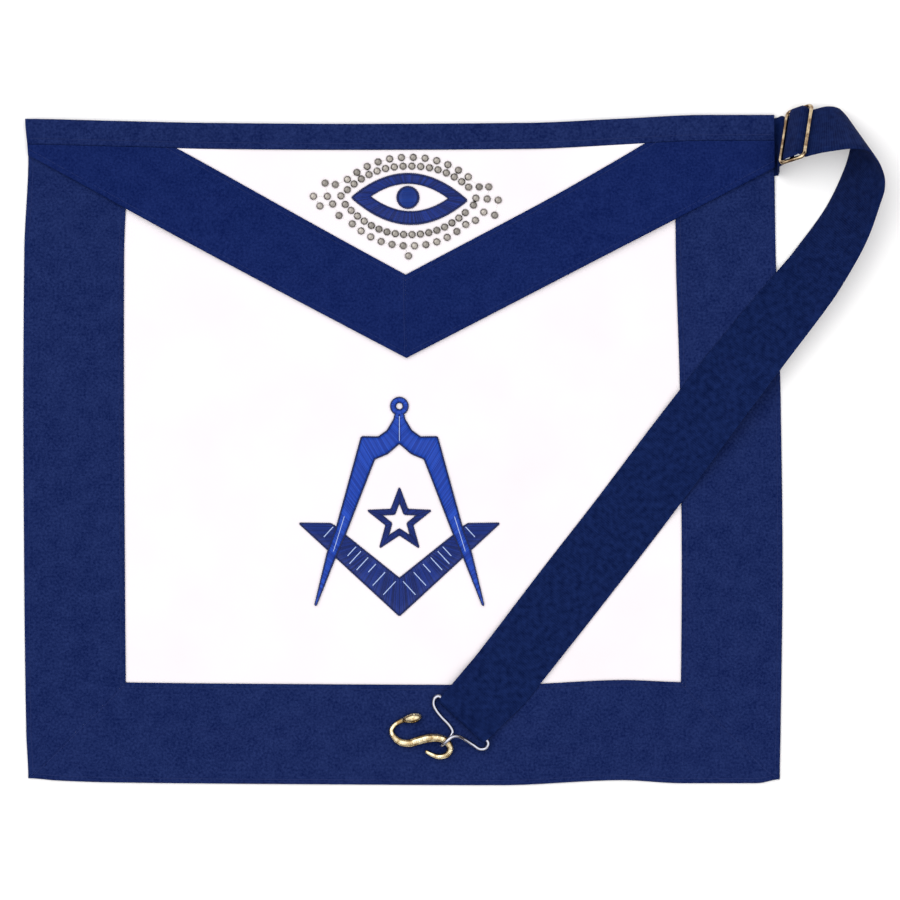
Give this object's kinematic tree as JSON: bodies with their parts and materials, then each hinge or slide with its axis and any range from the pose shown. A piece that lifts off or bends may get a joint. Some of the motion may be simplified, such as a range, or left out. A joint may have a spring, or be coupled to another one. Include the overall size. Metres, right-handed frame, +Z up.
{
  "type": "ceremonial apron",
  "caption": "White leather apron laid flat, with navy ribbon borders, a pointed flap, an embroidered eye, compasses and square, cut stones and a webbing waist strap with a serpent hook",
  "frame": {"origin": "middle of the apron's underside, on the surface that it lies on", "axes": "+X to the apron's right seen from above, +Y up the apron towards its waistband, +Z up out of the surface"},
  "size_m": [0.4629, 0.3661, 0.0365],
  "materials": {
    "white_leather": "smooth, semi-matt white leather",
    "navy_ribbon": "navy ribbon with a soft sheen",
    "flap_ribbon": "navy ribbon with a soft sheen",
    "royal_thread": "satin-stitched royal blue thread",
    "pale_thread": "satin-stitched mid blue thread",
    "cut_stone": "faceted, with a silvered back",
    "navy_webbing": "woven webbing",
    "pale_gold": "polished pale gold plate",
    "bright_steel": "polished nickel plate"
  },
  "bodies": {
    "root": {"body_panel": "white_leather", "border_left": "navy_ribbon", "border_right": "navy_ribbon", "border_bottom": "navy_ribbon", "waistband": "navy_ribbon", "flap_panel": "white_leather", "flap_border_left": "flap_ribbon", "flap_border_right": "flap_ribbon", "eye_outline": "royal_thread", "eye_iris": "pale_thread", "stones_inner_row": "cut_stone", "stones_outer_row": "cut_stone", "set_square": "royal_thread", "compasses": "royal_thread", "star": "royal_thread", "strap": "navy_webbing", "strap_slider": "pale_gold", "strap_ring": "bright_steel", "serpent_hook": "pale_gold"}
  },
  "joints": []
}
